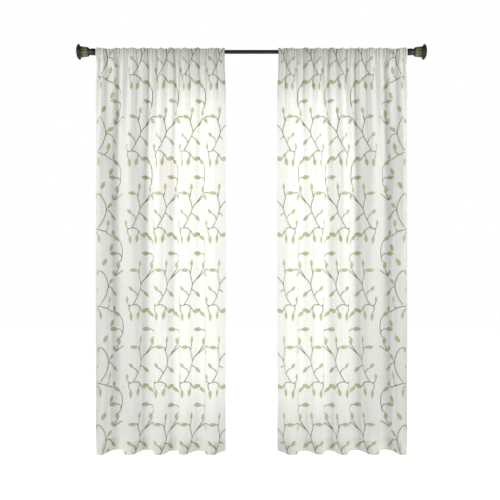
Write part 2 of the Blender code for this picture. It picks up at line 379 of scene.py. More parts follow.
class Wire:
    """A socket whose sums are Math nodes: a + b, a - b, a * b, and their reflected forms."""

    def __init__(self, shading, socket):
        self.shading = shading
        self.socket = socket

    def maths(self, operation, *values, clamp=False):
        """One Math node, with this wire first unless values holds it already."""
        inputs = {place: value for place, value in enumerate(values or (self,))}
        node = self.shading.node("ShaderNodeMath", {"operation": operation, "use_clamp": clamp}, inputs)
        return Wire(self.shading, node.outputs[0])

    def __add__(self, other):
        return self.maths("ADD", self, other)

    def __radd__(self, other):
        return self.maths("ADD", other, self)

    def __sub__(self, other):
        return self.maths("SUBTRACT", self, other)

    def __rsub__(self, other):
        return self.maths("SUBTRACT", other, self)

    def __mul__(self, other):
        return self.maths("MULTIPLY", self, other)

    def __rmul__(self, other):
        return self.maths("MULTIPLY", other, self)

    def sine(self):
        return self.maths("SINE")

    def absolute(self):
        return self.maths("ABSOLUTE")

    def clamped(self):
        return self.maths("ADD", self, 0.0, clamp=True)

    def ramp(self, low, high):
        """Rises smoothly from 0 at low to 1 at high, and falls if low is the greater."""
        settings = {"interpolation_type": "SMOOTHSTEP"}
        first, last, start, end = (low, high, 0.0, 1.0) if low < high else (high, low, 1.0, 0.0)
        inputs = {"Value": self, "From Min": first, "From Max": last, "To Min": start, "To Max": end}
        node = self.shading.node("ShaderNodeMapRange", settings, inputs)
        return Wire(self.shading, node.outputs["Result"])


class Shading:
    """The nodes of a new material, or of the world when that is given."""

    def __init__(self, name, owner=None):
        self.owner = owner or bpy.data.materials.new(name)
        self.owner.use_nodes = True
        self.tree = self.owner.node_tree
        self.tree.nodes.clear()

    def node(self, kind, settings=None, inputs=None):
        """Adds a node: its settings are set first, then the values or links of its sockets."""
        node = self.tree.nodes.new(kind)
        for key, value in (settings or {}).items():
            setattr(node, key, value)
        for key, value in (inputs or {}).items():
            socket = node.inputs[key]
            source = value.socket if isinstance(value, Wire) else value
            if isinstance(source, bpy.types.NodeSocket):
                self.tree.links.new(source, socket)
            else:
                socket.default_value = source
        return node

    def wire(self, kind, output, settings=None, inputs=None):
        """Adds a node and gives one of its outputs as a wire."""
        return Wire(self, self.node(kind, settings, inputs).outputs[output])

    def separate(self, vector):
        """X, Y and Z of a vector as wires."""
        node = self.node("ShaderNodeSeparateXYZ", inputs={0: vector})
        return [Wire(self, node.outputs[axis]) for axis in "XYZ"]

    def noise(self, vector, scale, detail=2.0):
        """Value of a noise, about 0 to 1."""
        inputs = {"Vector": vector, "Scale": scale, "Detail": detail}
        return self.wire("ShaderNodeTexNoise", 0, inputs=inputs)

    def stretched(self, vector, factors):
        """A vector times three factors."""
        return self.wire("ShaderNodeVectorMath", 0, {"operation": "MULTIPLY"}, {0: vector, 1: factors})

    def blend(self, factor, first, second):
        """A colour between two colours."""
        inputs = {0: factor, 6: first, 7: second}
        return self.wire("ShaderNodeMix", 2, {"data_type": "RGBA"}, inputs)

    def bump(self, height, strength, distance):
        """A normal from a height."""
        inputs = {"Height": height, "Strength": strength, "Distance": distance}
        return self.wire("ShaderNodeBump", 0, inputs=inputs)

    def mix(self, factor, first, second):
        """A shader between two shaders."""
        return self.wire("ShaderNodeMixShader", 0, inputs={0: factor, 1: first, 2: second})

    def finish(self, shader, output="ShaderNodeOutputMaterial"):
        """Links the last shader to the output and gives the material or the world."""
        self.node(output, inputs={"Surface": shader})
        return self.owner


def rgba(colour, share=1.0):
    """A colour times a share, with full alpha."""
    return (*(part * share for part in colour), 1.0)


def voile_material(cloth):
    """Sheer voile: threads that reflect and pass light, with clear gaps between them.

    The cover varies with slubs, long thin noises along the warp and the weft, and is denser at the selvedges.
    The bump is the weave's over and under, the product of two sines, on a fine crinkle along the warp.
    """
    shading = Shading("voile")
    flat = shading.wire("ShaderNodeUVMap", 0, {"uv_map": "Flat"})
    across, along, _ = shading.separate(flat)
    warp = shading.noise(shading.stretched(flat, (520.0, 9.0, 1.0)), 1.0)
    weft = shading.noise(shading.stretched(flat, (9.0, 420.0, 1.0)), 1.0)
    cloud = shading.noise(flat, 14.0, 3.0)
    to_edge = cloth.flat_width / 2 - (across - cloth.flat_width / 2).absolute()
    selvedge = to_edge.ramp(SELVEDGE_WIDTH + 0.0005, SELVEDGE_WIDTH - 0.0005)
    slubs = (warp - 0.5) * 0.16 + (weft - 0.5) * 0.12 + (cloud - 0.5) * 0.05
    cover = (slubs + selvedge * 0.12 + cloth.cover).clamped()
    weave_turns = 2 * math.pi / WEAVE_PITCH
    weave = (across * weave_turns).sine() * (along * weave_turns).sine()
    crinkle = shading.noise(shading.stretched(flat, (75.0, 1.6, 1.0)), 1.0, 3.0)
    height = (weave * 0.5 + warp * 0.7 + weft * 0.5) * WEAVE_HEIGHT + crinkle * CRINKLE_HEIGHT
    normal = shading.bump(height, 1.0, 1.0)
    thread = shading.blend(slubs * 3.0 + 0.5, rgba(cloth.thread, 0.965), rgba(cloth.thread))
    woven = shading.wire("ShaderNodeBsdfPrincipled", 0, inputs={
        "Base Color": thread, "Roughness": 0.72, "Normal": normal, "Sheen Weight": 0.25,
        "Sheen Roughness": 0.45, "Specular IOR Level": 0.30})
    scattered = shading.wire("ShaderNodeBsdfTranslucent", 0, inputs={"Color": rgba(cloth.thread)})
    clear = shading.wire("ShaderNodeBsdfTransparent", 0)
    return shading.finish(shading.mix(cover, clear, shading.mix(cloth.glow, woven, scattered)))


def leaf_material(vine):
    """Satin stitch: slanting threads on both sides of a midrib, with a darker outline, a pale rim and a painted
    sheen on the stitches' crests.

    Light passes through the fill, less through the outline and the midrib.
    The map runs 0 to 1 from base to tip, and 0 to 1 across with the midrib at 0.5.
    """
    shading = Shading("leaf_thread")
    place = shading.wire("ShaderNodeUVMap", 0, {"uv_map": "Flat"})
    along, across, _ = shading.separate(place)
    off = (across - 0.5).absolute() * 2.0
    ends = (along - 0.5).absolute() * 2.0
    outline = off.ramp(0.40, 0.62) * off.ramp(0.88, 0.76)
    rim = (off.ramp(0.74, 0.88) + ends.ramp(0.90, 0.98)).clamped()
    midrib = off.ramp(0.16, 0.05) * along.ramp(0.97, 0.80)
    stitches = ((along * 17.0 + off * 3.2) * (2 * math.pi)).sine() * 0.5 + 0.5
    uneven = shading.noise(shading.stretched(place, (7.0, 3.0, 1.0)), 1.0)
    fill = shading.blend(uneven, rgba(vine.leaf_colour, 0.80), rgba(vine.leaf_colour))
    colour = shading.blend((outline * 0.70 + midrib * 0.75).clamped(), fill, rgba(vine.outline_colour))
    colour = shading.blend(rim * 0.85, colour, rgba(vine.rim_colour))
    # painted sheen: the crests of the slanting stitches are drawn in a brighter copy of the fill colour
    colour = shading.blend(stitches * 0.22, colour, rgba(vine.leaf_colour, 1.5))
    normal = shading.bump(stitches * 0.6 - midrib, 0.5, 0.0005)
    thread = shading.wire("ShaderNodeBsdfPrincipled", 0, inputs={
        "Base Color": colour, "Roughness": 0.48, "Normal": normal, "Sheen Weight": 0.3,
        "Sheen Roughness": 0.4})
    scattered = shading.wire("ShaderNodeBsdfTranslucent", 0, inputs={"Color": LEAF_LIGHT})
    passing = (0.72 - (outline * 0.30 + midrib * 0.35)).clamped()
    clear = shading.wire("ShaderNodeBsdfTransparent", 0)
    return shading.finish(shading.mix(LEAF_COVER, clear, shading.mix(passing, thread, scattered)))


def thread_material(name, colour, turns):
    """Twisted thread: a bump that runs round it at a slant, with painted shade in the grooves of the twist."""
    shading = Shading(name)
    place = shading.wire("ShaderNodeUVMap", 0, {"uv_map": "Flat"})
    along, across, _ = shading.separate(place)
    twist = ((along * turns + across) * (2 * math.pi)).sine() * 0.5 + 0.5
    # painted shade: the grooves of the twist are drawn darker
    shade = shading.blend(twist, rgba(colour, 0.75), rgba(colour))
    normal = shading.bump(twist, 0.5, 0.0003)
    return shading.finish(shading.wire("ShaderNodeBsdfPrincipled", 0, inputs={
        "Base Color": shade, "Roughness": 0.55, "Normal": normal, "Sheen Weight": 0.2}))


def stem_material(vine):
    """Stem: a dark twisted core with painted shade in the twist's grooves, a pale thread laid on both sides, and
    some light passing through.
    """
    shading = Shading("stem_thread")
    place = shading.wire("ShaderNodeUVMap", 0, {"uv_map": "Flat"})
    along, across, _ = shading.separate(place)
    edge = (across * (2 * math.pi) + math.pi / 2).sine().absolute().ramp(0.74, 0.96)
    twist = ((along * 400.0 + across) * (2 * math.pi)).sine() * 0.5 + 0.5
    # painted shade: the grooves of the twist are drawn darker on the core's colour
    core = shading.blend(twist, rgba(vine.stem_colour, 0.75), rgba(vine.stem_colour))
    colour = shading.blend(edge, core, rgba(vine.rim_colour))
    normal = shading.bump(twist, 0.5, 0.0003)
    thread = shading.wire("ShaderNodeBsdfPrincipled", 0, inputs={
        "Base Color": colour, "Roughness": 0.55, "Normal": normal, "Sheen Weight": 0.2})
    scattered = shading.wire("ShaderNodeBsdfTranslucent", 0, inputs={"Color": STEM_LIGHT})
    return shading.finish(shading.mix(edge * 0.40 + 0.32, thread, scattered))


def bronze_material(metal):
    """Dark oiled bronze: cloudy colour, fine scratches along the rod, and brighter worn spots."""
    shading = Shading("bronze")
    place = shading.wire("ShaderNodeTexCoord", "Object")
    cloud = shading.noise(place, 38.0, 4.0)
    scratch = shading.noise(shading.stretched(place, (14.0, 620.0, 620.0)), 1.0, 2.0)
    worn = shading.noise(place, 210.0, 3.0).ramp(0.60, 0.78)
    colour = shading.blend(cloud, rgba(metal.bronze, 0.7), rgba(metal.bronze, 1.5))
    colour = shading.blend(worn * 0.35, colour, rgba(metal.patina))
    roughness = cloud * 0.12 + scratch * 0.10 + (metal.roughness - 0.10)
    normal = shading.bump(scratch * 0.6 + cloud * 0.4, 0.18, 0.0004)
    return shading.finish(shading.wire("ShaderNodeBsdfPrincipled", 0, inputs={
        "Base Color": colour, "Roughness": roughness, "Metallic": 0.75, "Normal": normal}))


def patina_material(metal):
    """Bronze whose raised flutes are olive gold: partly rubbed through, partly a painted highlight of light caught
    by the metal.

    The flutes' angle round the rod gives the ridges, and a band along the rod keeps the rubbed finish and its
    painted highlight to the body.
    """
    shading = Shading("patina")
    place = shading.wire("ShaderNodeTexCoord", "Object")
    along, deep, up = shading.separate(place)
    angle = deep.maths("ARCTAN2", deep, up)
    ridge = (angle * FLUTES + math.pi / 2).sine() * -0.5 + 0.5
    past = along.absolute() - ROD_SPAN / 2
    body = past.ramp(0.035, 0.044) * past.ramp(0.074, 0.050)
    cloud = shading.noise(place, 95.0, 4.0)
    # painted highlight: the olive gold on the flute ridges across the body stands partly for light caught by the
    # metal, partly for a rubbed finish
    rub_and_highlight = ((ridge.ramp(0.0, 0.8) * 0.50 + 0.50) * body * cloud.ramp(0.22, 0.62)).clamped()
    dark = shading.blend(cloud, rgba(metal.bronze, 0.6), rgba(metal.bronze, 1.8))
    colour = shading.blend(rub_and_highlight * 0.92, dark, rgba(metal.patina))
    roughness = cloud * 0.16 + (metal.roughness - 0.04)
    normal = shading.bump(cloud, 0.22, 0.0006)
    return shading.finish(shading.wire("ShaderNodeBsdfPrincipled", 0, inputs={
        "Base Color": colour, "Roughness": roughness, "Metallic": 0.55, "Normal": normal}))


def smoothstep(share):
    """Eases from 0 to 1 with level ends."""
    share = np.clip(share, 0.0, 1.0)
    return share * share * (3 - 2 * share)


def plan_lines(drop, flat_width):
    """Plan lines of the cloth at many heights: X and Y for each row and column, and each column's flat place.

    drop is each row's share of the way from the seam to the hem. The line's turn over a leg is a half wave
    for the fold, sharper low down, three half waves for the gathers, and small ripples. Each leg's turn is
    scaled, by halving, until its cloth hangs in the leg's width.
    """
    drop = np.asarray(drop, dtype=float)[:, None, None]
    cloth, hem_width, strength = (column[None, :, None] for column in np.array(FOLD_LEGS).T)
    cloth = cloth * flat_width / cloth.sum()
    hem_width = hem_width * HUNG_WIDTH / hem_width.sum()
    grown = smoothstep(drop / FOLD_FULL_AT)
    even_width = cloth * HUNG_WIDTH / flat_width
    width = hem_width + (even_width - hem_width) * SEAM_EVENNESS * (1 - grown)
    fold_share = SEAM_FOLD_SHARE + (1 - SEAM_FOLD_SHARE) * grown
    gather_share = HEM_GATHER_SHARE + (1 - HEM_GATHER_SHARE) * (1 - drop) ** GATHER_FADE
    samples = LEG_COLUMNS * SAMPLES_PER_COLUMN
    legs = len(FOLD_LEGS)
    to_front = (np.arange(legs) % 2 == 0)[None, :, None]
    along = (np.arange(samples) + 0.5)[None, None, :] / samples
    drawn_in = grown * (1 - HEM_SOFTENING * smoothstep((drop - SOFTENED_FROM) / (1 - SOFTENED_FROM)))
    sharpness = 1 + (np.where(to_front, FRONT_LEG_SHARPNESS, BACK_LEG_SHARPNESS) - 1) * drawn_in
    shape = fold_share * np.sin(math.pi * along) ** sharpness
    shape = shape + gather_share * strength * np.sin(GATHERS_PER_LEG * math.pi * along)
    shape /= np.abs(shape).max(axis=2, keepdims=True)
    flat = (np.cumsum(cloth, axis=1) - cloth) + cloth * along
    ripple = np.zeros_like(drop * flat)
    for pitch, at_seam, at_hem, fade, phase, drift in RIPPLES:
        turn = at_hem + (at_seam - at_hem) * np.exp(-fade * drop)
        ripple += turn * np.sin(2 * math.pi * flat / pitch + phase + drift * drop)
    side = np.where(to_front, -1.0, 1.0)
    low, high = np.zeros_like(width * cloth), np.full_like(width * cloth, SHARPEST_TURN)
    for _ in range(HALVINGS):
        turn = (low + high) / 2
        wide = np.cos(side * turn * shape + ripple).mean(axis=2, keepdims=True) * cloth > width
        low, high = np.where(wide, turn, low), np.where(wide, high, turn)
    angle = side * turn * shape + ripple
    step = cloth / samples
    rows = drop.shape[0]
    kept = slice(SAMPLES_PER_COLUMN - 1, None, SAMPLES_PER_COLUMN)
    x = np.cumsum((np.cos(angle) * step).reshape(rows, -1), axis=1)[:, kept]
    y = np.cumsum((np.sin(angle) * step).reshape(rows, -1), axis=1)[:, kept]
    flare = FLARE * smoothstep(drop[:, :, 0] / FLARED_AT)
    x = np.concatenate([np.zeros((rows, 1)), x], axis=1) * (HUNG_WIDTH + flare) / x[:, -1:]
    y = np.concatenate([np.zeros((rows, 1)), y], axis=1)
    y -= x * y[:, -1:] / x[:, -1:]
    y -= (y.min(axis=1, keepdims=True) + y.max(axis=1, keepdims=True)) / 2
    x -= flare / 2
    column_cloth = np.repeat(cloth.ravel() / LEG_COLUMNS, LEG_COLUMNS)
    return x, y, np.concatenate([[0.0], np.cumsum(column_cloth)])


def plan_normals(x, y):
    """Unit normals of the plan lines, towards the back."""
    dx, dy = np.gradient(x, axis=1), np.gradient(y, axis=1)
    length = np.hypot(dx, dy)
    return -dy / length, dx / length


def relief(flat, drop):
    """Creases and puckers: how far the cloth stands out of its folds towards the room.

    A crease is a bell across the cloth times an eased start and end along the drop. A pucker is a short wave
    across the cloth, fading with the distance from its stitch line.
    """
    out = np.zeros((len(drop), len(flat)))
    drop = np.asarray(drop)[:, None]
    for place, start, end, height, reach in CREASES:
        window = smoothstep((drop - start) / CREASE_ENDS) * smoothstep((end - drop) / CREASE_ENDS)
        out += height * window * np.exp(-((flat[None, :] - place) / reach) ** 2)
    out += fine_creases(flat, drop)
    fall = SEAM_Z - HEM_BOTTOM_Z
    wave = np.sin(2 * math.pi * flat / PUCKER_PITCH + 1.5 * np.sin(flat * 41.0))[None, :]
    for line in (0.0, 1 - HEM_HEIGHT / fall):
        away = np.abs(drop - line) * fall / PUCKER_REACH
        out += PUCKER_HEIGHT * wave * np.exp(-away * away)
    return out


def fine_creases(flat, drop):
    """Small sharp creases: narrow bells across the cloth at drawn places, each with a slight lean."""
    draw = np.random.default_rng(FINE_SEED)
    place, start, span, lean, height, reach = (
        draw.uniform(low, high, FINE_CREASES)[:, None, None] for low, high in FINE_RANGES)
    run = drop[None] - start
    window = smoothstep(run / CREASE_ENDS) * smoothstep((span - run) / CREASE_ENDS)
    bell = np.exp(-((flat[None, None, :] - place - lean * run) / reach) ** 2)
    return (height * window * bell).sum(axis=0)


def sheet_rows(flat_width):
    """The cloth of the left panel as one strip of rows: points, normals, and the flat places of both ways.

    The strip starts at the hem's inner edge, runs down inside the hem, turns at the bottom, runs up the front
    to the seam and over the rod, and ends at the seam behind.
    """
    fall = SEAM_Z - HEM_BOTTOM_Z
    hem_top = HEM_BOTTOM_Z + HEM_HEIGHT
    radius = HEM_GAP / 2
    inner = np.linspace(hem_top, HEM_BOTTOM_Z + radius, HEM_ROWS)
    bend = math.pi * np.arange(1, TURN_ROWS + 1) / (TURN_ROWS + 1)
    turn = HEM_BOTTOM_Z + radius - radius * np.sin(bend)
    near_seam = SEAM_Z - SEAM_ZONE * np.linspace(1, 0, SEAM_ZONE_ROWS) ** SEAM_CROWDING
    front = np.concatenate([
        np.linspace(HEM_BOTTOM_Z + radius, hem_top, HEM_ROWS),
        np.linspace(hem_top, SEAM_Z - SEAM_ZONE, DROP_ROWS)[1:-1], near_seam])
    height = np.concatenate([inner, turn, front])
    behind = np.concatenate([np.full(HEM_ROWS, HEM_GAP), radius * (1 + np.cos(bend)), np.zeros(len(front))])
    drop = (SEAM_Z - height) / fall
    x, y, flat = plan_lines(drop, flat_width)
    across, deep = plan_normals(x, y)
    out = relief(flat, drop) - behind[:, None]
    lift = HEM_RISE * smoothstep((drop - HEM_RISE_FROM) / (1 - HEM_RISE_FROM))[:, None]
    low, high = y.min(axis=1, keepdims=True), y.max(axis=1, keepdims=True)
    z = height[:, None] + lift * smoothstep((y - low) / (high - low))
    body = np.stack([x - across * out, y - deep * out, z], axis=2)
    pocket = pocket_rows(x[-1], y[-1], flat)
    points = np.concatenate([body, pocket])
    points[:, :, 0] -= ROD_SPAN / 2 - SIDE_CLEARANCE
    down = np.linalg.norm(np.diff(points, axis=0), axis=2).mean(axis=1)
    normals = np.cross(np.gradient(points, axis=1), np.gradient(points, axis=0))
    normals /= np.linalg.norm(normals, axis=2, keepdims=True)
    marks = {"hem": HEM_ROWS + TURN_ROWS + HEM_ROWS - 1, "seam": len(height) - 1}
    return points, normals, flat, np.concatenate([[0.0], np.cumsum(down)]), marks


def pocket_rows(x, seam_y, flat):
    """The cloth above the seam: up in front, over the rod in half an ellipse, and down behind to the seam.

    The gathers shift both walls the same way, so that a ridge in front is a hollow behind. A finer ruffle, a
    wave of uneven pitch, stands out from them. The crown rises over each ridge and in a few small bumps.
    """
    ridge = np.clip(-seam_y / np.abs(seam_y).max(), -1, 1)
    wave = np.sin(2 * math.pi * flat / RUFFLE_PITCH + 2.2 * np.sin(flat * 23.0))
    ruffle = RUFFLE_HEIGHT * ((1 + wave) / 2) ** 1.6
    forward = smoothstep((1 + ridge) / 2)
    front_y = -(POCKET_REACH + GATHER_REACH * forward + ruffle)
    back_y = POCKET_REACH + GATHER_REACH * (1 - forward) + ruffle
    bumps = BUMP_HEIGHT * np.clip(np.sin(flat * 31.0 + 0.8) * np.sin(flat * 67.0), 0, 1)
    crown = CROWN_HEIGHT + CROWN_RUFFLE * np.abs(ridge) ** 1.5 + ruffle / 2 + bumps
    rows = []
    for share in np.arange(1, WALL_ROWS) / WALL_ROWS:
        rows.append((x, seam_y + (front_y - seam_y) * smoothstep(share), SEAM_Z * (1 - share) + 0 * x))
    for angle in np.linspace(0, math.pi, CROWN_ROWS + 1):
        y = (front_y + back_y) / 2 - (back_y - front_y) / 2 * math.cos(angle)
        rows.append((x, y, crown * math.sin(angle)))
    for share in np.arange(WALL_ROWS - 1, -1, -1) / WALL_ROWS:
        y = seam_y + HEM_GAP + (back_y - seam_y - HEM_GAP) * smoothstep(share)
        rows.append((x, y, SEAM_Z * (1 - share) + 0 * x))
    return np.array(rows).transpose(0, 2, 1)


def on_cloth(sheet, across, along, height):
    """Points at flat places of the cloth, raised along its normal, between the four nearest grid points."""
    points, normals, flat, length, _ = sheet
    column = np.interp(np.clip(across, EDGE_MARGIN, flat[-1] - EDGE_MARGIN), flat, np.arange(len(flat)))
    row = np.interp(np.clip(along, 0.0, length[-1]), length, np.arange(len(length)))
    left = np.minimum(column.astype(int), len(flat) - 2)
    low = np.minimum(row.astype(int), len(length) - 2)
    part_across, part_up = (column - left)[..., None], (row - low)[..., None]

    def between(grid):
        bottom = grid[low, left] * (1 - part_across) + grid[low, left + 1] * part_across
        top = grid[low + 1, left] * (1 - part_across) + grid[low + 1, left + 1] * part_across
        return bottom * (1 - part_up) + top * part_up

    return between(points) + between(normals) * height[..., None]


def grid_quads(copies, rows, columns, closed):
    """Corner numbers of the faces of many equal grids. A closed grid joins its last column to its first."""
    numbers = np.arange(copies * rows * columns).reshape(copies, rows, columns)
    if closed:
        numbers = np.concatenate([numbers, numbers[:, :, :1]], axis=2)
    corners = [numbers[:, :-1, :-1], numbers[:, :-1, 1:], numbers[:, 1:, 1:], numbers[:, 1:, :-1]]
    return np.stack(corners, axis=3).reshape(-1, 4)


def piece(name, grids, material, side=-1, tips=False, shell=False):
    """An object from grids of points with map places, each as (points, map, closed).

    A point array holds copies, rows and columns. side 1 mirrors the left panel's shape across the middle and
    turns its faces back outwards. tips says that points fall together at tips or poles, and shell that the
    faces form one closed shell.
    """
    places, maps, faces, count = [], [], [], 0
    for points, flat, closed in grids:
        copies, rows, columns = points.shape[:3]
        places.append(points.reshape(-1, 3))
        maps.append(flat.reshape(-1, 2))
        faces.append(grid_quads(copies, rows, columns, closed) + count)
        count += copies * rows * columns
    places, maps, faces = np.concatenate(places), np.concatenate(maps), np.concatenate(faces)
    if side > 0:
        places = places * (-1.0, 1.0, 1.0)
        faces = faces[:, ::-1]
    mesh = bpy.data.meshes.new(name)
    mesh.from_pydata(places.tolist(), [], faces.tolist())
    layer = mesh.uv_layers.new(name="Flat")
    layer.data.foreach_set("uv", maps[faces.ravel()].astype(np.float32).ravel())
    if tips:
        close(mesh, shell)
    mesh.shade_smooth()
    mesh.materials.append(material)
    obj = bpy.data.objects.new(name, mesh)
    bpy.context.scene.collection.objects.link(obj)
    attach(obj, "root")
    return obj


def close(mesh, shell):
    """Joins the points that fall together at tips and poles, and turns a shell's faces outwards."""
    work = bmesh.new()
    work.from_mesh(mesh)
    bmesh.ops.remove_doubles(work, verts=work.verts, dist=1e-7)
    if shell:
        bmesh.ops.recalc_face_normals(work, faces=work.faces)
    work.to_mesh(mesh)
    work.free()


def smooth_curve(points, step):
    """Points at even steps along a Catmull-Rom curve through the given points."""
    points = np.array(points, dtype=float)
    padded = np.concatenate([2 * points[:1] - points[1:2], points, 2 * points[-1:] - points[-2:-1]])
    t = np.linspace(0, 1, 24, endpoint=False)[:, None]
    runs = []
    for a, b, c, d in zip(padded, padded[1:], padded[2:], padded[3:]):
        runs.append(0.5 * (2 * b + (c - a) * t + (2 * a - 5 * b + 4 * c - d) * t ** 2
                           + (3 * b - a - 3 * c + d) * t ** 3))
    dense = np.concatenate(runs + [points[-1:]])
    run = np.concatenate([[0.0], np.cumsum(np.linalg.norm(np.diff(dense, axis=0), axis=1))])
    even = np.linspace(0, run[-1], max(3, int(round(run[-1] / step)) + 1))
    return np.stack([np.interp(even, run, dense[:, axis]) for axis in range(dense.shape[1])], axis=1)


def vine_columns(sheet):
    """For each upright column of the vine: its feet as rows of across and along, its leaves and its stems."""
    points, _, _, length, marks = sheet
    front = slice(HEM_ROWS + TURN_ROWS, marks["seam"] + 1)
    foot_length = np.interp(FOOT_Z, points[front, :, 2].mean(axis=1), length[front])
    along = foot_length + REPEAT_HEIGHT * np.array(REPEATS)
    columns = [(EDGE_FOOT_U, EDGE_LEAVES, EDGE_STEMS)]
    columns += [(FIRST_FOOT_U + REPEAT_WIDTH * step, REPEAT_LEAVES, REPEAT_STEMS) for step in range(COLUMNS)]
    for foot, leaves, stems in columns:
        yield np.stack([np.full(len(along), foot), along], axis=1), leaves, stems


def inside(sheet, across, along, spare):
    """Which places lie on the cloth, by more than spare outside each edge."""
    _, _, flat, length, _ = sheet
    return (across > -spare) & (across < flat[-1] + spare) & (along > -spare) & (along < length[-1] + spare)


def leaf_grid(sheet, middles, heading, size):
    """Leaves as flat pods on the cloth.

    Each ring round the leaf is an ellipse, whose width is that of a leaf with its belly near the base. A
    groove along its middle is the midrib. The first and last rings shrink to points.
    """
    s = np.linspace(0, 1, LEAF_RINGS)[None, :, None]
    around = 2 * math.pi * np.arange(LEAF_SIDES)[None, None, :] / LEAF_SIDES
    belly = np.sin(math.pi * s ** 0.88) ** 0.82
    off = np.cos(around) * belly
    groove = 1 - 0.45 * np.exp(-(np.cos(around) / 0.3) ** 2)
    length, width = (size[:, part][:, None, None] for part in (0, 1))
    a = (s - 0.5) * length + 0 * off
    b = off * width / 2 + 0 * a
    turn = heading[:, None, None]
    across = middles[:, 0][:, None, None] + a * np.cos(turn) - b * np.sin(turn)
    along = middles[:, 1][:, None, None] + a * np.sin(turn) + b * np.cos(turn)
    height = LEAF_HEIGHT * np.sin(around) * groove * belly ** 0.5 + 0 * a
    flat = np.stack(np.broadcast_arrays(s + 0 * across, 0.5 + 0.5 * np.cos(around) + 0 * across), axis=3)
    return on_cloth(sheet, across, along, height), flat, True


def add_leaves(sheet, name, side, material):
    """All leaves of one panel. Leaves with their middle off the cloth are left out."""
    grids = []
    for feet, leaves, _ in vine_columns(sheet):
        charted = [(feet + (x, -y), heading, length, width) for x, y, heading, length, width in leaves]
        charted = [(middles[middles[:, 1] > HEM_HEIGHT], *rest) for middles, *rest in charted]
        charted.append((np.array([[feet[0, 0] + HEM_LEAF[0], HEM_LEAF[1]]]), *HEM_LEAF[2:]))
        for middles, heading, length, width in charted:
            middles = middles[inside(sheet, middles[:, 0], middles[:, 1], -0.3 * width)]
            if len(middles):
                headings = np.full(len(middles), math.radians(heading))
                grids.append(leaf_grid(sheet, middles, headings, np.tile((length, width), (len(middles), 1))))
    return piece(name, grids, material, side, tips=True)


def stem_grid(sheet, feet, stem):
    """One stem at each foot: a flat lozenge carried along its curve, drawn in to a point at both ends."""
    around = 2 * math.pi * np.arange(STEM_SIDES) / STEM_SIDES
    line = smooth_curve(stem, STEM_STEP) * (1, -1)
    heading = np.gradient(line, axis=0)
    heading /= np.linalg.norm(heading, axis=1, keepdims=True)
    count = len(line)
    thick = np.ones(count)
    thick[[0, -1]] = 0.0
    off = np.outer(thick, np.cos(around)) * STEM_WIDTH / 2
    height = np.outer(thick, np.sin(around)) * STEM_HEIGHT
    middle = feet + line.mean(axis=0)
    kept = feet[inside(sheet, middle[:, 0], middle[:, 1], 0.03) & (middle[:, 1] > HEM_HEIGHT)]
    across = kept[:, 0][:, None, None] + (line[:, :1] - heading[:, 1:] * off)[None]
    along = kept[:, 1][:, None, None] + (line[:, 1:] + heading[:, :1] * off)[None]
    flat_along = np.arange(count)[None, :, None] * STEM_STEP + 0 * across
    flat_round = np.arange(STEM_SIDES)[None, None, :] / STEM_SIDES + 0 * across
    points = on_cloth(sheet, across, along, height[None] + 0 * across)
    return points, np.stack([flat_along, flat_round], axis=3), True


def add_stems(sheet, name, side, material):
    """All stems of one panel."""
    grids = [stem_grid(sheet, feet, stem) for feet, _, stems in vine_columns(sheet) for stem in stems]
    return piece(name, grids, material, side, tips=True)


def add_stitching(sheet, name, side, material):
    """Rows of stitches along the hem and the seam, on both faces: each is a small spindle on the cloth."""
    _, _, flat, length, marks = sheet
    middles = np.arange(STITCH_PITCH, flat[-1] - STITCH_PITCH / 2, STITCH_PITCH)
    lines = (length[marks["hem"]] - STITCH_INSET, STITCH_INSET,
             length[marks["seam"]] + STITCH_INSET, length[-1] - STITCH_INSET)
    s = np.linspace(-1, 1, STITCH_RINGS)[None, :, None]
    around = 2 * math.pi * np.arange(STITCH_SIDES)[None, None, :] / STITCH_SIDES
    thick = np.sqrt(1 - s * s)
    grids = []
    for line in lines:
        across = middles[:, None, None] + s * STITCH_LENGTH / 2 + 0 * around
        along = line + thick * np.sin(around) * STITCH_WIDTH / 2 + 0 * across
        height = STITCH_HEIGHT * (0.6 + thick * np.cos(around)) + 0 * across
        flat_map = np.stack(np.broadcast_arrays(s + 0 * across, around / (2 * math.pi) + 0 * across), axis=3)
        grids.append((on_cloth(sheet, across, along, height), flat_map, True))
    return piece(name, grids, material, side, tips=True)


def turned_grid(profile, side, flutes=0, flute_band=(0.0, 0.0), depth=0.0):
    """A surface of revolution about the rod's axis from a profile of places and radii.

    With flutes, each ring's radius dips by an even scalloped wave whose depth swells along the band.
    """
    profile = np.array(profile)
    place, radius = profile[:, 0][:, None], profile[:, 1][:, None]
    around = 2 * math.pi * np.arange(TURNED_SIDES)[None, :] / TURNED_SIDES
    share = (place - flute_band[0]) / max(flute_band[1] - flute_band[0], 1e-6)
    swell = np.where((share > 0) & (share < 1), np.sin(math.pi * np.clip(share, 0, 1)) ** 0.5, 0.0)
    dip = depth * swell * (1 - np.abs(np.sin(flutes * around / 2))) if flutes else 0.0
    reach = radius - dip
    x = side * (ROD_SPAN / 2 + place) + 0 * around
    points = np.stack([x, side * reach * np.sin(around), reach * np.cos(around)], axis=2)[None]
    flat = np.stack([place + 0 * around, 0.04 * around + 0 * place], axis=2)[None]
    return points, flat, True


def rounded(profile):
    """A profile with a smooth curve through its points, in steps half as long as its shortest part."""
    profile = np.array(profile)
    step = np.linalg.norm(np.diff(profile, axis=0), axis=1).min() / 2
    return smooth_curve(profile, max(step, 0.0004))


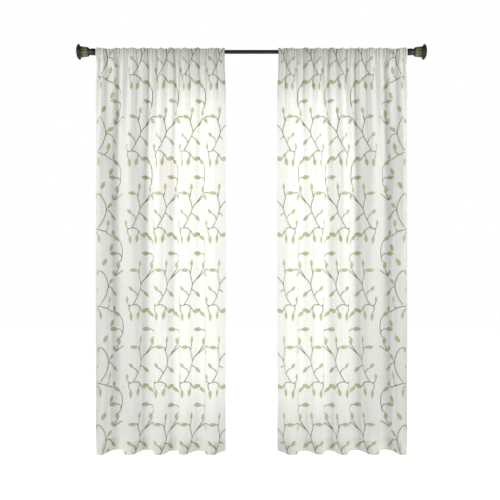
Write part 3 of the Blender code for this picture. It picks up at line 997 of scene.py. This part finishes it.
def add_finial(name, side, material):
    """A tulip with a fluted body, a flared rim and a shallow dome over its mouth."""
    body = rounded(FINIAL_PROFILE)
    rim_place, rim_radius = FINIAL_PROFILE[-1]
    face = rim_place + RIM_THICKNESS
    lip = np.array([(rim_place + RIM_THICKNESS * 0.5, rim_radius), (face, rim_radius - LIP_ROUND)])
    angle = np.linspace(0, math.pi / 2, DOME_STEPS)
    dome = np.stack([face + DOME_HEIGHT * np.sin(angle), (rim_radius - DOME_INSET) * np.cos(angle)], axis=1)
    profile = np.concatenate([[(body[0, 0], 0.0)], body, lip, dome])
    grid = turned_grid(profile, side, FLUTES, (FINIAL_PROFILE[2][0], FINIAL_PROFILE[-3][0]), FLUTE_DEPTH)
    return piece(name, [grid], material, tips=True, shell=True)


def add_collar(name, side, material):
    """The ring between the cloth and the finial, with a straight bore."""
    outer = rounded(COLLAR_PROFILE)
    bore = ROD_RADIUS + FIT_GAP
    profile = np.concatenate([outer, [(outer[-1, 0], bore), (outer[0, 0], bore)], outer[:1]])
    return piece(name, [turned_grid(profile, side)], material, tips=True, shell=True)


def add_rod(name, material):
    """The round bar: its profile goes from the axis out to the wall, along it, and back to the axis."""
    start, end = -ROD_SPAN / 2 - ROD_REACH, -ROD_SPAN / 2 + ROD_REACH
    profile = [(start, 0.0), (start, ROD_RADIUS - CORNER), (start + CORNER, ROD_RADIUS)]
    profile += [(place, ROD_RADIUS) for place in np.linspace(start + 2 * CORNER, end - 2 * CORNER, ROD_RINGS)]
    profile += [(end - CORNER, ROD_RADIUS), (end, ROD_RADIUS - CORNER), (end, 0.0)]
    return piece(name, [turned_grid(profile, 1)], material, tips=True, shell=True)


class CURTAIN_OT_panels(bpy.types.Operator):
    """Hangs both voile panels, with their embroidery and sewing"""

    bl_idname = "curtain.panels"
    bl_label = "Voile Panels"

    def execute(self, context):
        scene = context.scene
        sheet = sheet_rows(scene.curtain_cloth.flat_width)
        voile = voile_material(scene.curtain_cloth)
        leaf = leaf_material(scene.curtain_vine)
        stem = stem_material(scene.curtain_vine)
        white = thread_material("seam_thread", SEAM_THREAD, 2.0)
        points, _, flat, length, _ = sheet
        places = np.stack(np.broadcast_arrays(flat[None, :], length[:, None]), axis=2)[None]
        for end, side in SIDES:
            leaves = add_leaves(sheet, "vine_leaves_" + end, side, leaf)
            stems = add_stems(sheet, "vine_stems_" + end, side, stem)
            stitches = add_stitching(sheet, "stitching_" + end, side, white)
            panel = piece("voile_" + end, [(points[None], places, False)], voile, side)
            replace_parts(panel, "panel_" + end)
        return {"FINISHED"}


class CURTAIN_OT_metal(bpy.types.Operator):
    """Makes the rod, its collars and its fluted finials"""

    bl_idname = "curtain.metal"
    bl_label = "Rod and Finials"

    def execute(self, context):
        bronze = bronze_material(context.scene.curtain_metal)
        patina = patina_material(context.scene.curtain_metal)
        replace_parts(add_rod("rod_bar", bronze), "rod")
        for end, side in SIDES:
            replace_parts(add_collar("ring_" + end, side, bronze), "collar_" + end)
            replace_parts(add_finial("tulip_" + end, side, patina), "finial_" + end)
        return {"FINISHED"}


class CURTAIN_OT_stage(bpy.types.Operator):
    """Sets the pale floor, the soft lights and the camera"""

    bl_idname = "curtain.stage"
    bl_label = "Stage"

    def execute(self, context):
        stage = context.scene.curtain_stage
        add_floor()
        add_surround(context.scene, stage.surround)
        for end, side in SIDES:
            for name, place, aim, size, power, share, colour, spread in LIGHTS:
                add_area(name + end, Vector(place) * Vector((side, 1, 1)), Vector(aim) * Vector((side, 1, 1)),
                         size, getattr(stage, power) * share, colour, math.radians(spread))
        add_camera(context.scene, stage.distance)
        context.scene.view_settings.view_transform = "Standard"
        context.scene.cycles.transparent_max_bounces = 24
        return {"FINISHED"}


def add_floor():
    """A pale floor a little below the hem."""
    shading = Shading("pale_floor")
    place = shading.wire("ShaderNodeTexCoord", "Object")
    tint = shading.blend(shading.noise(place, 3.0), *FLOOR_COLOURS)
    shader = shading.wire("ShaderNodeBsdfPrincipled", 0, inputs={
        "Base Color": tint, "Roughness": 0.8, "Emission Color": WHITE, "Emission Strength": 0.80})
    material = shading.finish(shader)
    corners = ((-1, -1), (1, -1), (1, 1), (-1, 1))
    height = HEM_BOTTOM_Z - FLOOR_DROP
    mesh = bpy.data.meshes.new("floor")
    mesh.from_pydata([(x * FLOOR_REACH, y * FLOOR_REACH, height) for x, y in corners], [], [(0, 1, 2, 3)])
    mesh.materials.append(material)
    floor = bpy.data.objects.new("floor", mesh)
    bpy.context.scene.collection.objects.link(floor)
    floor.visible_diffuse = False


def add_surround(scene, strength):
    """Even light from all sides, with a white ground behind the object."""
    shading = Shading("surround", bpy.data.worlds.new("surround"))
    seen = shading.wire("ShaderNodeLightPath", "Is Camera Ray")
    lit = shading.wire("ShaderNodeBackground", 0, inputs={"Color": SURROUND_COLOUR, "Strength": strength})
    ground = shading.wire("ShaderNodeBackground", 0, inputs={"Color": WHITE, "Strength": 1.0})
    scene.world = shading.finish(shading.mix(seen, lit, ground), "ShaderNodeOutputWorld")


def add_area(name, location, target, size, power, colour, spread):
    """A soft rectangular light turned towards a point, and not itself seen."""
    data = bpy.data.lights.new(name, "AREA")
    data.shape = "RECTANGLE"
    data.size, data.size_y = size
    data.energy = power
    data.color = colour
    data.spread = spread
    light = bpy.data.objects.new(name, data)
    light.location = location
    light.rotation_euler = (target - location).to_track_quat("-Z", "Y").to_euler()
    light.visible_camera = False
    bpy.context.scene.collection.objects.link(light)


def add_camera(scene, distance):
    """The photograph's view: straight at the rod's plane, with the picture's width at that plane."""
    data = bpy.data.cameras.new("view")
    data.sensor_fit = "HORIZONTAL"
    data.sensor_width = SENSOR_WIDTH
    data.lens = SENSOR_WIDTH * distance / (PICTURE_WIDTH * PIXEL)
    camera = bpy.data.objects.new("view", data)
    x = (PICTURE_MIDDLE - ROD_MIDDLE_PIXEL[0]) * PIXEL
    z = (ROD_MIDDLE_PIXEL[1] - PICTURE_MIDDLE) * PIXEL
    camera.location = (x, -distance, z)
    camera.rotation_euler = (math.pi / 2, 0.0, 0.0)
    scene.collection.objects.link(camera)
    scene.camera = camera


class CURTAIN_PT_sidebar(bpy.types.Panel):
    """Lists the curtain's pieces"""

    bl_idname = "CURTAIN_PT_sidebar"
    bl_label = "Voile Curtain Pair"
    bl_space_type = "VIEW_3D"
    bl_region_type = "UI"
    bl_category = "Curtain"

    def draw(self, context):
        layout = self.layout
        for operator in OPERATORS:
            layout.operator(operator.bl_idname)
        for name in SETTINGS:
            group = getattr(context.scene, name)
            box = layout.box()
            for key in group.__annotations__:
                box.prop(group, key)


SETTINGS = {
    "curtain_cloth": CurtainCloth,
    "curtain_vine": CurtainVine,
    "curtain_metal": CurtainMetal,
    "curtain_stage": CurtainStage,
}
OPERATORS = (CURTAIN_OT_metal, CURTAIN_OT_panels, CURTAIN_OT_stage)
CLASSES = (*SETTINGS.values(), *OPERATORS, CURTAIN_PT_sidebar)


def register():
    for cls in CLASSES:
        bpy.utils.register_class(cls)
    for name, group in SETTINGS.items():
        setattr(bpy.types.Scene, name, PointerProperty(type=group))


def unregister():
    for name in SETTINGS:
        delattr(bpy.types.Scene, name)
    for cls in reversed(CLASSES):
        bpy.utils.unregister_class(cls)


def main():
    register()
    bpy.ops.curtain.metal()
    bpy.ops.curtain.panels()
    bpy.ops.curtain.stage()


if __name__ == "__main__":
    main()
